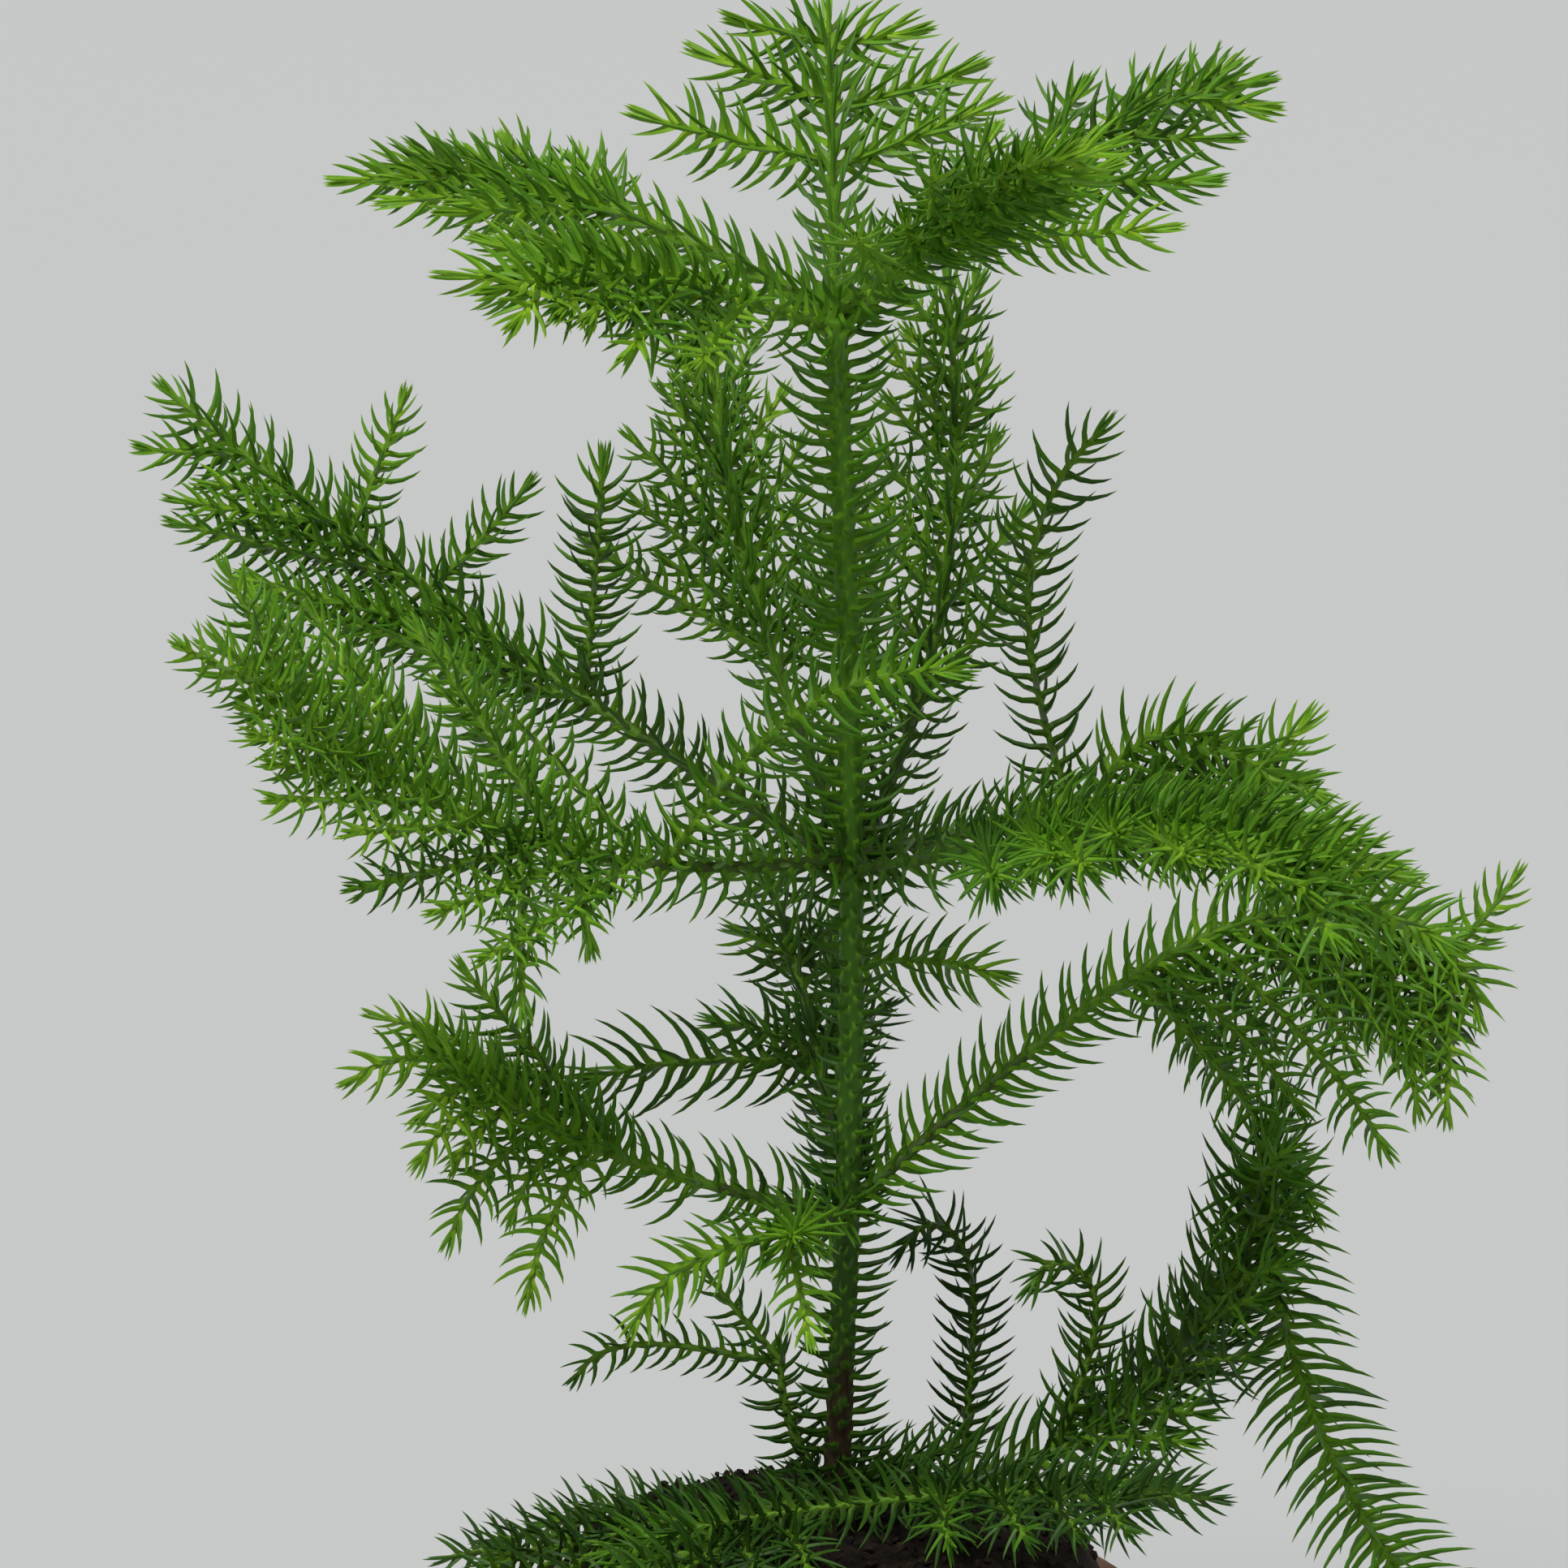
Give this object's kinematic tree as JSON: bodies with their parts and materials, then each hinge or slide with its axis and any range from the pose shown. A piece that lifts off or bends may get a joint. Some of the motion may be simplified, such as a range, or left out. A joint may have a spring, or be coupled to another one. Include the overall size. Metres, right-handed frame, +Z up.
{
  "type": "potted norfolk island pine",
  "caption": "Young conifer with a slim upright stem and tiers of feathery needle-clad boughs spreading in whorls, rooted in dark peat in a plain clay pot.",
  "frame": {"origin": "centre of the pot's flat underside, where it stands", "axes": "+Z up along the trunk, +X to the right and +Y away from the viewer of the plant's best side"},
  "size_m": [0.2244, 0.1699, 0.3397],
  "materials": {
    "clay": "unglazed, matte",
    "peat": "crumbly, moist",
    "bark": "green shoot with brown bark low down",
    "needles": "waxy, satin",
    "young_needles": "waxy, satin"
  },
  "bodies": {
    "root": {"pot": "clay", "soil": "peat", "trunk": "bark", "trunk_needles_upper": "needles", "trunk_needles_middle": "needles", "trunk_needles_lower": "needles", "upper_left_back_bough": "bark", "upper_front_left_bough": "bark", "upper_front_right_bough": "bark", "upper_right_bough": "bark", "upper_back_right_bough": "bark", "upper_back_left_bough": "bark", "middle_right_bough": "bark", "middle_left_bough": "bark", "middle_front_bough": "bark", "middle_back_left_bough": "bark", "middle_back_right_bough": "bark", "lower_left_bough": "bark", "lower_right_bough": "bark", "lower_back_bough": "bark", "lower_back_right_bough": "bark", "lower_front_right_bough": "bark", "lower_front_bough": "bark", "top_back_frond": "young_needles", "top_left_back_frond": "young_needles", "top_front_left_frond": "young_needles", "top_front_right_frond": "young_needles", "top_right_back_frond": "young_needles", "upper_left_back_frond": "needles", "upper_front_left_frond": "needles", "upper_front_right_frond": "needles", "upper_right_frond": "needles", "upper_back_right_frond": "needles", "upper_back_left_frond": "needles", "middle_right_frond": "needles", "middle_left_frond": "needles", "middle_front_frond": "needles", "middle_back_left_frond": "needles", "middle_back_right_frond": "needles", "lower_left_frond": "needles", "lower_right_frond": "needles", "lower_back_frond": "needles", "lower_back_right_frond": "needles", "lower_front_right_frond": "needles", "lower_front_frond": "needles"}
  },
  "joints": []
}
